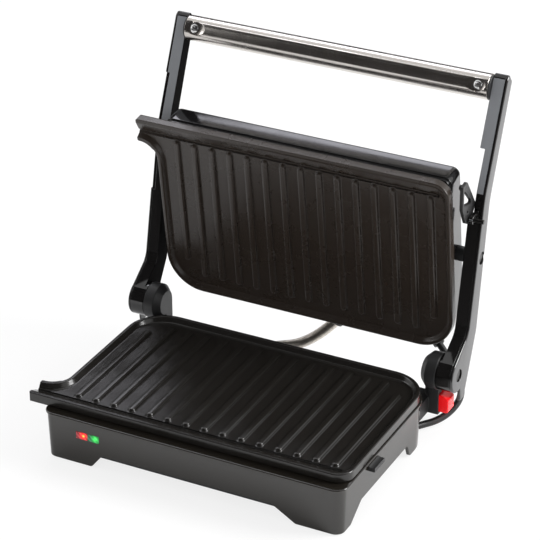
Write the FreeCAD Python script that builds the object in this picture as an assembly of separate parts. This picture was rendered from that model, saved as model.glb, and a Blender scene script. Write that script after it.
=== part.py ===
"""Contact grill with a hinged floating lid, standing open on a table.

Millimetres. The origin lies on the table under the middle of the lower plate, X runs to the grill's right,
Y to its back and Z up. The base is modelled where it stands. The lid is modelled closed, with its rims at
z = 0 of its own frame, and is then swung open about its pivots to where it hangs. The arms are modelled open.
"""
import math
import os

import FreeCAD
import Part

V = FreeCAD.Vector

# Plates
plate_width = 230.0
plate_depth = 141.0
plate_back_corner = 28.0
plate_front_corner = 12.0
rim_wall = 2.8
rim_draft = 2.0
front_slope = 7.6
rim_height = 7.0
plate_height = 9.0
plate_skirt_inset = 6.0
floor_depth = 3.6
trough_width = 1.8
trough_start = 0.4
trough_end = 1.3
trough_run_out = 5.0
spout_length = 15.2
spout_width = 18.0
spout_tip_round = 1.0
spout_curve_ease = 1.2
rib_pitch = 14.2
rib_width = 5.0
rib_height = 2.2
rib_round = 1.5
rib_side_margin = 13.0
rib_back_margin = 12.5
rib_front_margin = 13.4
rib_end_short = 12.0
rib_sink = 0.5
plate_screw_inset = 11.0
plate_screw_from_back = 30.5
plate_screw_cover = 1.0

# Base housing
base_side_past = 1.0
base_front_past = 7.9
base_rear_past = 1.5
base_front_corner = 9.0
base_rear_corner = 28.0
base_draft = 1.2
base_wall = 2.5
lip_top = 37.05
lip_rise = 2.45
lip_out = 1.0
lip_height = 2.0
lip_round = 0.8
recess_gap = 1.5
skirt_bottom = 0.8
apron_height = 12.0
apron_corner = 3.0
apron_left_inset = 47.0
apron_left_slope = 9.0
apron_right_inset = 54.0
apron_right_slope = 18.0
side_apron_front_inset = 34.0
side_apron_front_slope = 16.0
side_apron_rear_inset = 41.5
side_apron_rear_slope = 5.0
well_margin_x = 16.0
well_margin_y = 15.0
well_corner = 16.0
plate_gap = 0.7

# Bottom cover, feet and screws
cover_bottom = 8.5
cover_thickness = 1.5
fit_gap = 0.3
foot_radius = 8.0
foot_front_inset_x = 25.0
foot_front_inset_y = 26.4
foot_rear_inset_x = 38.0
foot_rear_inset_y = 13.5
screw_radius = 1.5
screw_length = 9.0
screw_head_radius = 3.0
screw_head_height = 1.8
screw_end_gap = 0.5
boss_radius = 4.0
boss_gap = 0.2
bottom_boss_from_back = 42.5
vent_count = 7
vent_pitch = 12.0
vent_width = 3.0
vent_length = 34.0

# Heating and wiring
heater_radius = 3.25
heater_end_inset = 37.0
heater_bend = 26.0
heater_gap = 0.1
terminal_radius = 4.2
terminal_length = 9.0
sheet = 0.8
pan_depth = 10.0
pan_flange = 3.0
thermostat_length = 26.0
thermostat_width = 16.0
thermostat_height = 8.0
thermostat_x = 20.0
blade_length = 7.0
blade_width = 4.0
blade_spacing = 8.0
blade_thickness = 0.8
block_length = 34.0
block_width = 15.0
block_height = 10.0
block_x = -30.0
block_y = 25.0
block_ways = 3
block_well_radius = 2.4
fuse_radius = 2.2
fuse_length = 28.0
fuse_inset = 4.7
fuse_clip_length = 6.0
fuse_clip_width = 7.0
fuse_clip_height = 1.6

# Indicator lamps
lens_width = 9.1
lens_height = 5.6
lens_depth = 4.0
lens_from_left = 36.1
lens_below_lip = 12.55
lens_proud = 0.3
lamp_radius = 2.0
lamp_length = 5.0
board_thickness = 1.6
board_margin = 3.0

# Hinge
hinge_behind_plate = 10.5
hinge_above_rim = 2.1
knuckle_radius = 13.0
bracket_radius = 13.5
bracket_inset = 10.3
bracket_width = 12.3
bracket_chamfer = 4.5
bracket_bottom = 13.0
bracket_plate_gap = 1.0
bracket_leg_front = 4.8
bracket_foot_length = 30.0
bracket_foot_height = 13.0
bracket_foot_depth = 14.0
pin_radius = 3.2
pin_head_radius = 4.2
pin_head_height = 0.7
pin_end_inset = 1.0
pin_head_gap = 0.4
run_clearance = 0.05
side_clearance = 0.4

# Release button
button_width = 11.0
button_height = 14.0
button_drop = 24.7
button_back = 2.2
button_proud = 7.0
button_grip = 4.0
button_round = 2.0
button_slope = 3.0
button_ledge = 1.5
spring_wire = 0.8
spring_mean_radius = 3.0
spring_turns = 7
spring_bore_depth = 7.5
spring_bore_gap = 1.0
pocket_floor = 8.5

# Arms
arm_plate_gap = 4.6
arm_frame_width = 8.7
arm_cover_width = 2.0
cover_round = 1.4
open_angle = 82.66
pivot_behind_hinge = 34.0
pivot_above_hinge = 77.3
handle_behind_pivot = 35.0
handle_above_pivot = 114.1
arm_top_front = 0.4
arm_top_rise = 7.8
arm_bend_back = 0.8
arm_bend_rise = 45.2
arm_foot_back = 14.5
arm_foot_rise = 25.6
arm_top_depth = 10.0
arm_bend_depth = 11.8
arm_foot_depth = 15.5
arm_bend_round = 60.0
arm_front_round = 14.0
arm_back_round = 24.0
arm_top_round = 2.0
arm_crest_back = 3.9
arm_crest_rise = 2.6
arm_edge_round = 0.6
arm_tail_drop = 23.0
arm_tail_front = 3.0
arm_tail_width = 7.5
notch_above_clip = 13.2
notch_below_clip = 3.0
notch_depth = 3.7
notch_back = 3.0
notch_run = 46.0
left_notch_rise = 83.3
pivot_pin_radius = 3.2
pivot_head_radius = 4.2
pivot_head_height = 0.8
pivot_head_gap = 0.4
pivot_reach = 7.0
pivot_boss_radius = 5.4
pivot_nut_extra = 0.6
pivot_nut = 2.0

# Handle
tube_radius = 9.3
tube_wall = 1.0
tube_end_gap = 1.2
plug_length = 16.0
plug_flange = 8.9
handle_screw_inset = 7.5
handle_screw_head = 3.3
handle_screw_dome = 4.6
handle_screw_rise = 1.7
recess_length = 3.6
recess_width = 0.8
recess_depth = 0.9
dimple_inset = 8.8
dimple_radius = 18.0
dimple_depth = 1.9

# Latch
latch_before_pivot = 8.5
latch_above_pivot = 32.8
latch_side_gap = 0.6
latch_thickness = 2.6
latch_hub = 3.6
latch_pin_radius = 1.6
latch_pin_proud = 4.0
latch_pin_inside = 0.8
latch_ear = 3.2
latch_ear_width = 3.0
latch_ear_gap = 0.5
latch_length = 30.5
latch_front = 11.8
latch_back = 11.5
latch_foot = 5.0
latch_foot_drop = 3.0
latch_back_rise = 7.8
latch_front_rise = 11.6
latch_shoulder_drop = 1.6
latch_round = 1.5
latch_tip_shift = -4.5
eye_front = 9.4
eye_back = 5.2
eye_rise = 11.0
eye_front_rise = 13.8
eye_top_drop = 4.2
eye_round = 1.0
window_radius = 1.1
window_front = 2.8
window_rise = 6.4
nub_forward = 3.2
nub_rise = 24.5
nub_radius = 2.0
nub_base_gap = 0.5
catch_from_front = 42.4
catch_length = 16.0
catch_height = 4.5
catch_below_lip = 2.75
catch_arm_gap = 0.2
catch_saddle = 1.6
catch_hollow = 5.0

# Lid
lid_pivot_before_middle = 3.36
lid_pivot_below_top = 9.8
lid_side_inset = 3.0
lid_front_inset = 1.0
lid_rear_inset = 2.0
lid_front_corner = 6.0
lid_rear_corner = 26.0
lid_gap = 0.6
lid_height = 29.0
lid_edge_round = 3.6
lid_wall = 2.5
seam_height = 2.2
seam_depth = 1.2
carrier_sheet = 1.2
carrier_gap = 0.6
tab_inset = 3.4
tab_margin = 5.0
tab_above = 1.2
bush_inside = 2.0

# Leads between the base and the lid
conduit_radius = 4.0
cable_radius = 2.6
conduit_points = [(-53.0, 7.5, 19.0), (-29.8, 23.6, 20.4), (-1.4, 45.9, 19.9)]
conduit_lid_end = (19.8, 5.3, 11.2)
cable_points = [(-24.0, -26.0, 5.0), (-15.0, -6.5, 4.0), (2.0, 14.5, 4.4), (9.5, 33.5, 17.0), (-5.5, 42.5, 35.0)]
cable_lid_end = (-24.0, 4.8, 11.1)
cable_notch_half = 4.2
cable_notch_before = 7.0
cable_notch_after = 9.0
cable_notch_clear = 1.2
gland_wall = 1.7
gland_reach = 8.0
gland_hub = 6.0
gland_hub_step = 1.0
seat_depth = 3.0
lead_play = 0.3
clamp_half = 6.5
clamp_floor = 1.4
mains_x = 34.0
mains_height = 20.0
mains_bore = 3.4
mains_wall = 1.8
mains_length = 13.0
mains_inside = 3.0
mains_flange = 2.6

# Places that follow from these sizes
open_turn = -open_angle
lid_pivot_y = -lid_pivot_before_middle
lid_pivot_height = lid_height - lid_pivot_below_top
deck_top = lip_top - lip_rise
plate_bottom = deck_top + plate_gap
rim_top = plate_bottom + plate_height
lid_seam = plate_height + lid_gap
rib_count = int((plate_width - 2 * rib_side_margin) / rib_pitch) + 1
plate_screw_x = plate_width / 2 - plate_screw_inset
plate_screw_y = plate_depth / 2 - plate_screw_from_back
base_half_width = plate_width / 2 + base_side_past
base_front = plate_depth / 2 + base_front_past
base_rear = plate_depth / 2 + base_rear_past
apron_left = apron_left_inset - base_half_width
apron_right = base_half_width - apron_right_inset
side_apron_front = side_apron_front_inset - base_front
side_apron_rear = base_rear - side_apron_rear_inset
bottom_boss_x = plate_width / 2 - well_margin_x + boss_radius + boss_gap
bottom_boss_y = plate_depth / 2 - bottom_boss_from_back
foot_places = [(base_half_width - foot_front_inset_x, foot_front_inset_y - base_front),
               (base_half_width - foot_rear_inset_x, base_rear - foot_rear_inset_y)]
heater_half_length = plate_width / 2 - heater_end_inset
lens_middle_x = lens_from_left - base_half_width
lens_middle_z = lip_top - lens_below_lip
hinge_y = plate_depth / 2 + hinge_behind_plate
hinge_z = rim_top + hinge_above_rim
bracket_inner_x = plate_width / 2 - bracket_inset
bracket_outer_x = bracket_inner_x + bracket_width
bracket_foot_top = bracket_bottom + bracket_foot_height
bracket_foot_inner_x = bracket_outer_x - bracket_foot_length
arm_inner_x = plate_width / 2 + arm_plate_gap
arm_seam_x = arm_inner_x + arm_frame_width
arm_outer_x = arm_seam_x + arm_cover_width
pivot_y = hinge_y + pivot_behind_hinge
pivot_z = hinge_z + pivot_above_hinge
handle_y = pivot_y + handle_behind_pivot
middle_x = latch_pin_proud / 2
middle_y = (handle_y + tube_radius - base_front) / 2
handle_z = pivot_z + handle_above_pivot
latch_y = pivot_y - latch_before_pivot
latch_z = pivot_z + latch_above_pivot
latch_inner_x = arm_inner_x + latch_side_gap
nub_inner_x = base_half_width + nub_base_gap
catch_front = catch_from_front - base_front
catch_rear = catch_front + catch_length
catch_top = lip_top - catch_below_lip
catch_bottom = catch_top - catch_height
catch_outer_x = arm_inner_x + catch_arm_gap
lid_half_width = plate_width / 2 - lid_side_inset
lid_front = plate_depth / 2 - lid_front_inset
lid_rear = plate_depth / 2 - lid_rear_inset
lid_lean = math.radians(open_turn)


def lid_end(x, behind, below_top):
    """Place of a lead's end behind the rear wall of the open lid."""
    dy = lid_rear + behind - lid_pivot_y
    dz = lid_height - below_top - lid_pivot_height
    return (x, pivot_y + dy * math.cos(lid_lean) - dz * math.sin(lid_lean),
            pivot_z + dy * math.sin(lid_lean) + dz * math.cos(lid_lean))


conduit_route = [(x, base_rear + y, z) for x, y, z in conduit_points] + [lid_end(*conduit_lid_end)]
cable_route = [(base_half_width + x, base_rear + y, z) for x, y, z in cable_points]
cable_route.append(lid_end(base_half_width + cable_lid_end[0], cable_lid_end[1], cable_lid_end[2]))
print("lead ends at the lid", [round(c, 2) for c in conduit_route[-1]], [round(c, 2) for c in cable_route[-1]])
far = 2 * plate_width


def filleted(points, place):
    """Closed wire through corner points (a, b, radius), each corner rounded by a tangent arc."""
    count = len(points)
    corners = []
    for i in range(count):
        a0, b0, _ = points[i - 1]
        a1, b1, radius = points[i]
        a2, b2, _ = points[(i + 1) % count]
        p0 = FreeCAD.Vector(a0, b0, 0)
        p1 = FreeCAD.Vector(a1, b1, 0)
        p2 = FreeCAD.Vector(a2, b2, 0)
        back = (p0 - p1).normalize()
        ahead = (p2 - p1).normalize()
        if radius <= 0:
            corners.append((p1, None, p1))
            continue
        half = back.getAngle(ahead) / 2
        reach = radius / math.tan(half)
        middle = (back + ahead).normalize()
        centre = p1 + middle * (radius / math.sin(half))
        corners.append((p1 + back * reach, centre - middle * radius, p1 + ahead * reach))
    edges = []
    for i in range(count):
        start, top, end = corners[i]
        if top is not None:
            arc = Part.Arc(place(start.x, start.y), place(top.x, top.y), place(end.x, end.y))
            edges.append(arc.toShape())
        following = corners[(i + 1) % count][0]
        if (following - end).Length > 1e-6:
            edges.append(Part.makeLine(place(end.x, end.y), place(following.x, following.y)))
    return Part.Wire(edges)


def plan(points, z):
    """Wire of (x, y, radius) corners lying flat at height z."""
    return filleted(points, lambda a, b: V(a, b, z))


def slab(points, z0, z1):
    """Upright prism over a flat outline."""
    return Part.Face(plan(points, z0)).extrude(V(0, 0, z1 - z0))


def side_slab(points, x0, x1):
    """Prism along X over an outline of (y, z, radius) corners."""
    wire = filleted(points, lambda a, b: V(x0, a, b))
    return Part.Face(wire).extrude(V(x1 - x0, 0, 0))


def front_slab(points, y0, y1):
    """Prism along Y over an outline of (x, z, radius) corners."""
    wire = filleted(points, lambda a, b: V(a, y0, b))
    return Part.Face(wire).extrude(V(0, y1 - y0, 0))


def taper(lower, z0, upper, z1):
    """Solid between two flat outlines with the same corners."""
    return Part.makeLoft([plan(lower, z0), plan(upper, z1)], True, True)


def rod_x(radius, x0, x1, y, z):
    """Round rod along X."""
    return Part.makeCylinder(radius, x1 - x0, V(x0, y, z), V(1, 0, 0))


def rod_y(radius, y0, y1, x, z):
    """Round rod along Y."""
    return Part.makeCylinder(radius, y1 - y0, V(x, y0, z), V(0, 1, 0))


def rod_z(radius, z0, z1, x, y):
    """Upright round rod."""
    return Part.makeCylinder(radius, z1 - z0, V(x, y, z0))


def block(x0, x1, y0, y1, z0, z1):
    """Box between two corners."""
    return Part.makeBox(x1 - x0, y1 - y0, z1 - z0, V(x0, y0, z0))


def joined(shapes):
    """One solid from overlapping shapes."""
    return shapes[0].multiFuse(shapes[1:]).removeSplitter()


def mirrored(shape):
    """The same piece for the other side of the grill."""
    return shape.mirror(V(0, 0, 0), V(1, 0, 0))


def swing_open(shape):
    """Moves a piece of the closed lid to where the open lid hangs."""
    moved = shape.copy()
    moved.translate(V(0, -lid_pivot_y, -lid_pivot_height))
    moved.rotate(V(0, 0, 0), V(1, 0, 0), open_turn)
    moved.translate(V(0, pivot_y, pivot_z))
    return moved


def save(name, shape):
    """Writes one piece, placed with the origin on the table under the middle of the whole grill."""
    placed = shape.copy()
    placed.translate(V(-middle_x, -middle_y, 0))
    placed.exportStep("parts/" + name + ".step")


os.makedirs("parts", exist_ok=True)


# Cooking plates: cast aluminium trays with ribs, a drain trough along the front and a spout at its left end
def plate_outline(inset, past_spout, front_inset):
    """Plate edge drawn in by inset, at the front by front_inset, with the spout lengthened by past_spout."""
    x = plate_width / 2 - inset
    y = plate_depth / 2 - inset
    front = front_inset - plate_depth / 2
    lip = -plate_depth / 2 + spout_width - inset
    tip = -plate_width / 2 - spout_length - past_spout
    tip_round = spout_tip_round if past_spout == 0 else 0.0
    return [(x, front, plate_front_corner - inset), (x, y, plate_back_corner - inset),
            (-x, y, plate_back_corner - inset), (-x, lip, spout_length - spout_curve_ease + inset),
            (tip, lip, tip_round), (tip, front, tip_round)]


def plate_body_outline(inset):
    """Plate edge without its spout."""
    x = plate_width / 2 - inset
    y = plate_depth / 2 - inset
    return [(x, -y, plate_front_corner - inset), (x, y, plate_back_corner - inset),
            (-x, y, plate_back_corner - inset), (-x, -y, plate_front_corner - inset)]


def rib(x, y0, y1):
    """Grill rib with round ends and a rounded top."""
    r = rib_width / 2
    foot = floor_depth + rib_sink
    body = slab([(x + r, y0, r * 0.999), (x + r, y1, r * 0.999), (x - r, y1, r * 0.999), (x - r, y0, r * 0.999)],
                -foot, rib_height - floor_depth)
    top = [e for e in body.Edges if e.BoundBox.ZMin > rib_height - floor_depth - 0.01]
    return body.makeFillet(rib_round, top)


def cooking_plate():
    """Plate facing up with its rim at z = 0."""
    tray = slab(plate_outline(0, 0, 0), -rim_height, 0)
    skirt = slab(plate_body_outline(plate_skirt_inset), -plate_height, -rim_height)
    open_past = 2 * spout_length
    hollow = taper(plate_outline(rim_wall + rim_draft, open_past, rim_wall + front_slope), -floor_depth,
                   plate_outline(rim_wall, open_past, rim_wall), 0.0)
    front = -plate_depth / 2 + rim_wall + front_slope
    left = -plate_width / 2 - spout_length - open_past
    right = plate_width / 2 - rim_wall - rim_draft - trough_run_out
    trough = front_slab([(left, -floor_depth - trough_end, 0), (right, -floor_depth - trough_start, 0),
                         (right, 0, 0), (left, 0, 0)], front, front + trough_width)
    body = joined([tray, skirt]).cut(hollow).cut(trough)
    y_front = -plate_depth / 2 + rib_front_margin
    y_back = plate_depth / 2 - rib_back_margin
    ribs = []
    for i in range(rib_count):
        outer = i in (0, rib_count - 1)
        end = y_back - rib_end_short if outer else y_back
        ribs.append(rib((i - (rib_count - 1) / 2) * rib_pitch, y_front, end))
    body = body.multiFuse(ribs)
    screw_depth = plate_height - floor_depth - plate_screw_cover
    for x, y in plate_screw_places():
        body = body.cut(rod_z(screw_radius, -far, screw_depth - plate_height, x, y))
    return body


def plate_screw_places():
    """The four screws that hold a plate, at its corners."""
    return [(sx * plate_screw_x, sy * plate_screw_y) for sx in (-1, 1) for sy in (-1, 1)]


plate = cooking_plate()
lower_plate = plate.copy()
lower_plate.translate(V(0, 0, rim_top))
save("lower_plate", lower_plate)
upper_plate = plate.mirror(V(0, 0, 0), V(0, 0, 1))
save("upper_plate", swing_open(upper_plate))


# Base housing: moulded shell open below, with a deck under the plate and four corner feet
def draft_at(z):
    """How far the wall has drawn in at height z."""
    return lip_out + base_draft * (lip_top - z) / (lip_top - skirt_bottom)


def base_outline(inset):
    """Outer edge of the base at its lip, drawn in by inset."""
    x = base_half_width - inset
    front = max(base_front_corner - inset, 0.5)
    rear = base_rear_corner - inset
    return [(x, inset - base_front, front), (x, base_rear - inset, rear),
            (-x, base_rear - inset, rear), (-x, inset - base_front, front)]


def well_outline(inset):
    """Opening under a plate, drawn in by inset."""
    x = plate_width / 2 - well_margin_x - inset
    y = plate_depth / 2 - well_margin_y - inset
    r = well_corner - inset
    return [(x, -y, r), (x, y, r), (-x, y, r), (-x, -y, r)]


deck_bottom = deck_top - base_wall
cover_top = cover_bottom + cover_thickness
below = -cover_bottom
lip = slab(base_outline(0), lip_top - lip_height, lip_top)
lip = lip.makeFillet(lip_round, [e for e in lip.Edges if e.BoundBox.ZLength < 0.01])
base_block = joined([taper(base_outline(draft_at(skirt_bottom)), skirt_bottom, base_outline(lip_out), lip_top), lip])
base_hollow = taper(base_outline(base_wall + draft_at(below)), below,
                    base_outline(base_wall + draft_at(deck_bottom)), deck_bottom)
housing = base_block.cut(base_hollow)
housing = housing.cut(slab(plate_body_outline(plate_skirt_inset - recess_gap), deck_top, rim_top))
housing = housing.cut(slab(well_outline(0), below, rim_top))
r = apron_corner
housing = housing.cut(front_slab(
    [(-far, below, 0), (far, below, 0), (far, skirt_bottom, 0), (apron_right + apron_right_slope, skirt_bottom, r),
     (apron_right, apron_height, r), (apron_left, apron_height, r), (apron_left - apron_left_slope, skirt_bottom, r),
     (-far, skirt_bottom, 0)], -far, far))
housing = housing.cut(side_slab(
    [(-far, below, 0), (far, below, 0), (far, skirt_bottom, 0),
     (side_apron_rear + side_apron_rear_slope, skirt_bottom, r), (side_apron_rear, apron_height, r),
     (side_apron_front, apron_height, r), (side_apron_front - side_apron_front_slope, skirt_bottom, r),
     (-far, skirt_bottom, 0)], -far, far))
boss_places = [(sx * bottom_boss_x, sy * bottom_boss_y) for sx in (-1, 1) for sy in (-1, 1)]
bosses = [rod_z(boss_radius, cover_top, deck_bottom + base_wall / 2, x, y) for x, y in boss_places]
housing = joined([housing] + bosses)
screw_top = cover_top + screw_length
for x, y in boss_places:
    housing = housing.cut(rod_z(screw_radius, cover_top - 1, screw_top, x, y))
for x, y in plate_screw_places():
    housing = housing.cut(rod_z(screw_radius + fit_gap, deck_bottom - 1, deck_top + 1, x, y))

# Indicator lenses: two clear plastic blocks side by side in the front wall, lit from behind
lens_face = -base_front + draft_at(lens_middle_z) - lens_proud
lens_back = lens_face + lens_depth
lens_low = lens_middle_z - lens_height / 2
lens_high = lens_middle_z + lens_height / 2
red_lens = block(lens_middle_x - lens_width, lens_middle_x, lens_face, lens_back, lens_low, lens_high)
green_lens = block(lens_middle_x, lens_middle_x + lens_width, lens_face, lens_back, lens_low, lens_high)
housing = housing.cut(red_lens).cut(green_lens)
save("red_lens", red_lens)
save("green_lens", green_lens)

# Lamp board: a small circuit board behind the lenses with one lamp for each
board_face = lens_back + lamp_length
lamp_end = board_face + board_thickness / 2
lamps = [rod_y(lamp_radius, lens_back, lamp_end, lens_middle_x + s * lens_width / 2, lens_middle_z) for s in (-1, 1)]
board = block(lens_middle_x - lens_width - board_margin, lens_middle_x + lens_width + board_margin,
              board_face, board_face + board_thickness, lens_low - board_margin / 2, lens_high + board_margin / 2)
save("lamp_board", joined([board] + lamps))

# Mains gland: rubber sleeve in the rear wall
wall_at_mains = base_rear - draft_at(mains_height)
sleeve_radius = mains_bore + mains_wall
wall_inside = wall_at_mains - base_wall
sleeve = rod_y(sleeve_radius, wall_inside - mains_inside, wall_at_mains + mains_length, mains_x, mains_height)
collar = rod_y(sleeve_radius + mains_flange, wall_inside, wall_at_mains + mains_flange, mains_x, mains_height)
mains_gland = joined([sleeve, collar.cut(base_block)])
mains_gland = mains_gland.cut(rod_y(mains_bore, 0, far, mains_x, mains_height))
housing = housing.cut(rod_y(sleeve_radius, base_rear - 2 * (base_wall + base_draft), far, mains_x, mains_height))
save("mains_gland", mains_gland)


# Leads: each runs straight between its corners and turns in tangent arcs
def lead(route, radius):
    """Round lead along a route of corner points, with its smallest bend radius and its length."""
    points = [V(*p) for p in route]
    edges = []
    at = points[0]
    tightest = 1e9
    for i in range(1, len(points) - 1):
        back = points[i - 1] - points[i]
        ahead = points[i + 1] - points[i]
        shorter = min(back.Length, ahead.Length)
        turn = math.pi - back.getAngle(ahead)
        bend = 0.45 * shorter / math.tan(turn / 2)
        tightest = min(tightest, bend)
        back.normalize()
        ahead.normalize()
        start = points[i] + back * (0.45 * shorter)
        end = points[i] + ahead * (0.45 * shorter)
        middle = (back + ahead).normalize()
        apex = points[i] + middle * (bend / math.cos(turn / 2) - bend)
        edges.append(Part.makeLine(at, start))
        edges.append(Part.Arc(start, apex, end).toShape())
        at = end
    edges.append(Part.makeLine(at, points[-1]))
    spine = Part.Wire(edges)
    ring = Part.Wire(Part.makeCircle(radius, points[0], points[1] - points[0]))
    body = spine.makePipeShell([ring], True, False)
    return body, tightest, spine.Length


def nozzle(end, inside, radius, reach):
    """Sleeve round the end of a lead, from a little inside the gland to its mouth."""
    axis = (V(*inside) - V(*end)).normalize()
    start = V(*end) - axis * (seat_depth + gland_wall)
    return Part.makeCylinder(radius, reach + seat_depth + gland_wall, start, axis)


def seat(end, inside, radius):
    """Room for the end of a lead inside its gland."""
    axis = (V(*inside) - V(*end)).normalize()
    return Part.makeCylinder(radius, 3 * gland_reach, V(*end), axis)


conduit, conduit_bend, conduit_length = lead(conduit_route, conduit_radius)
cable, cable_bend, cable_length = lead(cable_route, cable_radius)
for name, body, bend, length, radius in (("feed_conduit", conduit, conduit_bend, conduit_length, conduit_radius),
                                         ("lid_cable", cable, cable_bend, cable_length, cable_radius)):
    share = body.Volume / (math.pi * radius ** 2 * length)
    print(name, "smallest bend radius", round(bend, 1), "length", round(length, 1), "volume share", round(share, 4))
save("feed_conduit", conduit)
save("lid_cable", cable)

# Base glands: an angled elbow on the rear wall for the conduit and a clamp under the bottom cover for the cable
cx, cy, cz = conduit_route[0]
wall_at_conduit = base_rear - draft_at(cz)
elbow = joined([rod_y(gland_hub + gland_hub_step, wall_at_conduit - base_wall, cy + gland_wall, cx, cz).cut(base_block),
                nozzle(conduit_route[0], conduit_route[1], conduit_radius + gland_wall, gland_reach).cut(base_block)])
elbow = elbow.cut(seat(conduit_route[0], conduit_route[1], conduit_radius))
save("conduit_gland", elbow)
kx, ky, kz = cable_route[0]
notch_way = V(cable_route[2][0] - kx, cable_route[2][1] - ky, 0).normalize()
notch_side = V(-notch_way.y, notch_way.x, 0) * cable_notch_half
notch_middle = V(cable_route[1][0], cable_route[1][1], 0)
notch_start = notch_middle - notch_way * cable_notch_before
notch_end = notch_middle + notch_way * cable_notch_after
notch_plan = [notch_start + notch_side, notch_start - notch_side, notch_end - notch_side, notch_end + notch_side]
notch_top = cable_route[1][2] + cable_radius + cable_notch_clear
housing = housing.cut(slab([(p.x, p.y, 0) for p in notch_plan], below, notch_top))
clamp = block(kx - clamp_half, kx + clamp_half, ky - clamp_half, ky + clamp_half,
              kz - cable_radius - clamp_floor, cover_bottom)
clamp = clamp.cut(seat(cable_route[0], cable_route[1], cable_radius))
save("cable_clamp", clamp)

# Bottom cover: painted steel sheet with vent slots, screwed to the bosses of the housing
cover = slab(base_outline(base_wall + draft_at(cover_bottom) + fit_gap), cover_bottom, cover_top)
for x, y in boss_places:
    cover = cover.cut(rod_z(screw_radius + fit_gap, cover_bottom - 1, cover_top + 1, x, y))
for i in range(vent_count):
    x = (i - (vent_count - 1) / 2) * vent_pitch
    r = vent_width / 2 * 0.98
    half = vent_length / 2
    cover = cover.cut(slab([(x + vent_width / 2, -half, r), (x + vent_width / 2, half, r),
                            (x - vent_width / 2, half, r), (x - vent_width / 2, -half, r)],
                           cover_bottom - 1, cover_top + 1))
save("base_bottom_cover", cover)
bottom_screws = []
for x, y in boss_places:
    head = rod_z(screw_head_radius, cover_bottom - screw_head_height, cover_bottom, x, y)
    shaft = rod_z(screw_radius, cover_bottom - screw_head_height / 2, screw_top - screw_end_gap, x, y)
    bottom_screws.append(joined([head, shaft]))
save("bottom_screws", Part.makeCompound(bottom_screws))

# Foot pads: rubber discs under the bottom cover
pads = []
for sx in (-1, 1):
    for x, y in foot_places:
        pads.append(rod_z(foot_radius, 0, cover_bottom, sx * x, y))
save("foot_pads", Part.makeCompound(pads))


# Heaters and reflectors: a bent tube element against the plate and a folded sheet pan over it
def heater_body(z):
    """U-shaped heating element in a level plane, with a ceramic end on each leg."""
    x = heater_half_length
    legs = [Part.makeLine(V(x, heater_bend, z), V(heater_bend - x, heater_bend, z)),
            Part.Arc(V(heater_bend - x, heater_bend, z), V(-x, 0, z), V(heater_bend - x, -heater_bend, z)).toShape(),
            Part.makeLine(V(heater_bend - x, -heater_bend, z), V(x, -heater_bend, z))]
    ring = Part.Wire(Part.makeCircle(heater_radius, V(x, heater_bend, z), V(1, 0, 0)))
    tube = Part.Wire(legs).makePipeShell([ring], True, False)
    ends = [rod_x(terminal_radius, x - 1, x + terminal_length, s * heater_bend, z) for s in (-1, 1)]
    return joined([tube] + ends)


def pan_body(rim_z, flange_z, down):
    """Open pan hung in the well by a flange between rim_z and flange_z, with its floor to the down side."""
    floor = rim_z + down * pan_depth
    low, high = min(floor, flange_z), max(floor, flange_z)
    outside = slab(well_outline(fit_gap), low, high)
    inner_low, inner_high = (low + sheet, high + 5) if down < 0 else (low - 5, high - sheet)
    inside = slab(well_outline(fit_gap + sheet), inner_low, inner_high)
    lip_low, lip_high = min(rim_z, flange_z), max(rim_z, flange_z)
    lip = slab(well_outline(-pan_flange), lip_low, lip_high)
    lip = lip.cut(slab(well_outline(fit_gap + sheet / 2), lip_low - sheet, lip_high + sheet))
    return joined([outside.cut(inside), lip])


element_drop = terminal_radius + heater_gap
save("lower_heater", heater_body(plate_bottom - element_drop))
save("lower_reflector", pan_body(deck_top, plate_bottom, -1))
plate_grip = plate_height - floor_depth - plate_screw_cover - fit_gap
lower_screws = []
for x, y in plate_screw_places():
    shaft = rod_z(screw_radius, deck_bottom - screw_head_height / 2, plate_bottom + plate_grip, x, y)
    lower_screws.append(joined([rod_z(screw_head_radius, deck_bottom - screw_head_height, deck_bottom, x, y), shaft]))
save("lower_plate_screws", Part.makeCompound(lower_screws))

# Thermostat: sealed disc switch in a plastic body, bonded under the pan
pan_floor = deck_top - pan_depth
blade_x = thermostat_x + thermostat_length
blade_z = pan_floor - thermostat_height / 2
body = block(thermostat_x, blade_x, -thermostat_width / 2, thermostat_width / 2,
             pan_floor - thermostat_height, pan_floor)
blades = []
for s in (-1, 1):
    middle = s * blade_spacing / 2
    blades.append(block(blade_x - blade_thickness, blade_x + blade_length,
                        middle - blade_width / 2, middle + blade_width / 2,
                        blade_z - blade_thickness / 2, blade_z + blade_thickness / 2))
save("thermostat", joined([body] + blades))

# Terminal block: moulded strip with three clamping wells, on the bottom cover
block_top = cover_top + block_height
strip = block(block_x - block_length / 2, block_x + block_length / 2, block_y, block_y + block_width,
              cover_top, block_top)
for i in range(block_ways):
    x = block_x + (i - (block_ways - 1) / 2) * block_length / block_ways
    strip = strip.cut(rod_z(block_well_radius, cover_top + block_height / 2, lip_top, x, block_y + block_width / 2))
save("terminal_block", strip)

# Latch catch: a saddle-shaped lug on the right wall just under the lip
catch = block(base_half_width - lip_out - base_draft, catch_outer_x, catch_front, catch_rear, catch_bottom, catch_top)
catch = catch.cut(base_block)
hollow_x = (base_half_width + catch_outer_x) / 2
catch = catch.cut(rod_y(catch_hollow, -far, far, hollow_x, catch_top + catch_hollow - catch_saddle))
save("latch_catch", catch)

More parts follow.
